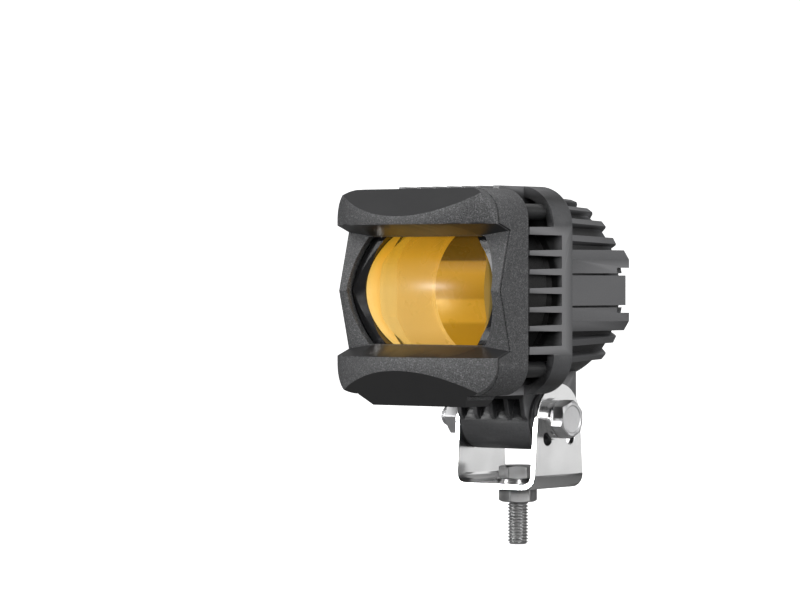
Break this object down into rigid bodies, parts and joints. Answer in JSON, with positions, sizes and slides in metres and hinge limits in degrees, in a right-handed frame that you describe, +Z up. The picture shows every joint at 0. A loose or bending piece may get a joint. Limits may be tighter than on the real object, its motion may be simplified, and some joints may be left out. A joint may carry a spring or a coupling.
{
  "type": "fog light",
  "caption": "Cube-shaped LED fog light with hooded fascia, amber lens and finned housing, tilting on a U-bracket with a threaded mounting stud.",
  "frame": {"origin": "centre of the mounting stud at the underside of its nut, where it meets the surface it is bolted to", "axes": "+Z up along the stud, -Y the way the lamp shines, +X the bolt-head side"},
  "size_m": [0.0752, 0.1022, 0.137],
  "materials": {
    "textured_black": "sparkling coarse black powder coat",
    "housing_black": "satin black powder coat",
    "amber_lens": "clear amber moulded polycarbonate",
    "gloss_black": "gloss black",
    "mirror_coat": "vacuum metallised mirror",
    "seal_rubber": "matt",
    "board_white": "white solder mask",
    "board_green": "green solder mask",
    "phosphor": "phosphor",
    "pad_grey": "matt",
    "black_parts": "moulded",
    "black_steel": "black oxide",
    "plain_steel": "zinc plated",
    "black_nylon": "moulded nylon",
    "bright_stainless": "polished stainless",
    "zinc_steel": "bright stainless"
  },
  "bodies": {
    "stud": {"stud_bolt": "zinc_steel", "stud_washer": "bright_stainless", "stud_nut": "zinc_steel"},
    "bracket": {"bracket": "bright_stainless", "pivot_bolt": "zinc_steel", "pivot_flat_washer": "bright_stainless", "pivot_spring_washer": "bright_stainless", "pivot_nut_washer": "bright_stainless", "pivot_nut": "zinc_steel"},
    "lamp": {"front_fascia": "textured_black", "bezel_frame": "textured_black", "lens": "amber_lens", "lens_seal": "seal_rubber", "lens_shroud": "gloss_black", "reflector": "mirror_coat", "led_board": "board_white", "led_emitters": "phosphor", "led_screws": "plain_steel", "thermal_pad": "pad_grey", "cage_ring": "housing_black", "heat_sink": "housing_black", "pivot_foot": "housing_black", "housing_seal": "seal_rubber", "case_screws": "black_steel", "driver_board": "board_green", "driver_parts": "black_parts", "driver_screws": "plain_steel", "rear_cover": "housing_black", "cover_seal": "seal_rubber", "cover_screws": "black_steel", "breather_vent": "black_nylon", "cable_gland": "black_nylon", "gland_nut": "black_nylon", "pivot_bush_left": "black_nylon", "pivot_bush_right": "black_nylon"}
  },
  "joints": [
    {"name": "bracket_pan", "type": "hinge", "parent": "stud", "child": "bracket", "pos_m": [0, 0, 0.0055], "axis": [0, 0, 1], "continuous": true},
    {"name": "lamp_tilt", "type": "hinge", "parent": "bracket", "child": "lamp", "pos_m": [0, -0.0036, 0.0325], "axis": [1, 0, 0], "range_deg": [-45, 30]}
  ]
}
